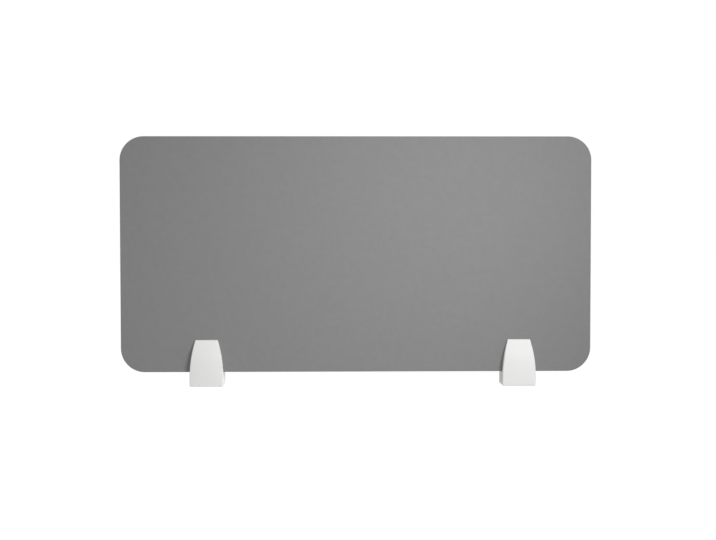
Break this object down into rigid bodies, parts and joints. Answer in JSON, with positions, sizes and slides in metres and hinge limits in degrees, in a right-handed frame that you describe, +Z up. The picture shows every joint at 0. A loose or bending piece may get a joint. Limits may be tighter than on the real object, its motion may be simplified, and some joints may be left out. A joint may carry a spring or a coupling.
{
  "type": "acoustic divider screen",
  "caption": "Grey felt acoustic screen with round corners, held upright at a desk's edge by white screw clamps that slide along its lower edge.",
  "frame": {"origin": "the desk top's upper front edge, at the middle of the board's width", "axes": "+X along the board, to the right as seen from outside the desk; +Y in over the desk; +Z up"},
  "size_m": [1.2, 0.0717, 0.636],
  "materials": {
    "felt": "matte",
    "clamp_white": "satin",
    "zinc_steel": "satin",
    "dark_steel": "satin",
    "brass": "satin",
    "rubber": "matte",
    "knob_black": "matte"
  },
  "bodies": {
    "board": {"board": "felt"},
    "left_clamp": {"left_body": "clamp_white", "left_cover": "clamp_white", "left_cover_screws": "zinc_steel", "left_grip_plate": "zinc_steel", "left_grip_screws": "dark_steel", "left_grip_inserts": "brass", "left_top_pad": "rubber", "left_nut": "zinc_steel"},
    "left_jaw": {"left_pressure_plate": "zinc_steel", "left_pressure_pad": "rubber"},
    "left_screw": {"left_clamp_screw": "zinc_steel", "left_clip": "dark_steel", "left_knob": "knob_black"},
    "right_clamp": {"right_body": "clamp_white", "right_cover": "clamp_white", "right_cover_screws": "zinc_steel", "right_grip_plate": "zinc_steel", "right_grip_screws": "dark_steel", "right_grip_inserts": "brass", "right_top_pad": "rubber", "right_nut": "zinc_steel"},
    "right_jaw": {"right_pressure_plate": "zinc_steel", "right_pressure_pad": "rubber"},
    "right_screw": {"right_clamp_screw": "zinc_steel", "right_clip": "dark_steel", "right_knob": "knob_black"}
  },
  "joints": [
    {"name": "left_clamp_slide", "type": "slide", "parent": "board", "child": "left_clamp", "axis": [1, 0, 0], "range_m": [-0.115, 0.332]},
    {"name": "left_jaw_lift", "type": "slide", "parent": "left_clamp", "child": "left_jaw", "axis": [0, 0, 1], "range_m": [0, 0.015]},
    {"name": "left_screw_turn", "type": "hinge", "parent": "left_jaw", "child": "left_screw", "pos_m": [-0.382, 0.018, -0.05], "axis": [0, 0, 1], "range_deg": [0, 4320]},
    {"name": "right_clamp_slide", "type": "slide", "parent": "board", "child": "right_clamp", "axis": [1, 0, 0], "range_m": [-0.3655, 0.0815]},
    {"name": "right_jaw_lift", "type": "slide", "parent": "right_clamp", "child": "right_jaw", "axis": [0, 0, 1], "range_m": [0, 0.015]},
    {"name": "right_screw_turn", "type": "hinge", "parent": "right_jaw", "child": "right_screw", "pos_m": [0.4155, 0.018, -0.05], "axis": [0, 0, 1], "range_deg": [0, 4320]}
  ],
  "couplings": [
    {"joint": "left_screw_turn", "follows": "left_jaw_lift", "rad_per_m": 5026.5},
    {"joint": "right_screw_turn", "follows": "right_jaw_lift", "rad_per_m": 5026.5}
  ]
}
